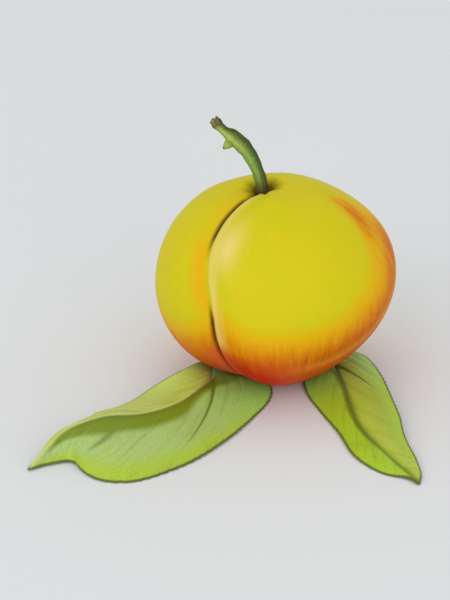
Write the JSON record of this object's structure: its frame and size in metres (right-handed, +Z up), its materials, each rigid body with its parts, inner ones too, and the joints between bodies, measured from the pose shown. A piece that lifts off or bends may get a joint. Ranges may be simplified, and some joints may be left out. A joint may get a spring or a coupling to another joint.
{
  "type": "peach",
  "caption": "Whole ripe peach with a suture groove and a bent broken stalk, resting on two loose pointed leaves.",
  "frame": {"origin": "on the flat face that the fruit rests on, under the middle of the fruit", "axes": "+Z up, out of the surface; -Y towards the front, where the leaf tips point; +X to the right; the stalk leans to -X"},
  "size_m": [0.1013, 0.1001, 0.0765],
  "materials": {
    "peach_skin": "downy lemon-gold skin with an orange and red blush",
    "stalk_bark": "green young bark, brownish at the foot and the broken tip",
    "leaf_left": "satin grey-green blade with yellow-green edges and a dark midrib",
    "leaf_right": "satin yellow-green blade, one half brighter, with a dark midrib"
  },
  "bodies": {
    "root": {"fruit": "peach_skin", "stalk": "stalk_bark", "leaf_left": "leaf_left", "leaf_right": "leaf_right"}
  },
  "joints": []
}
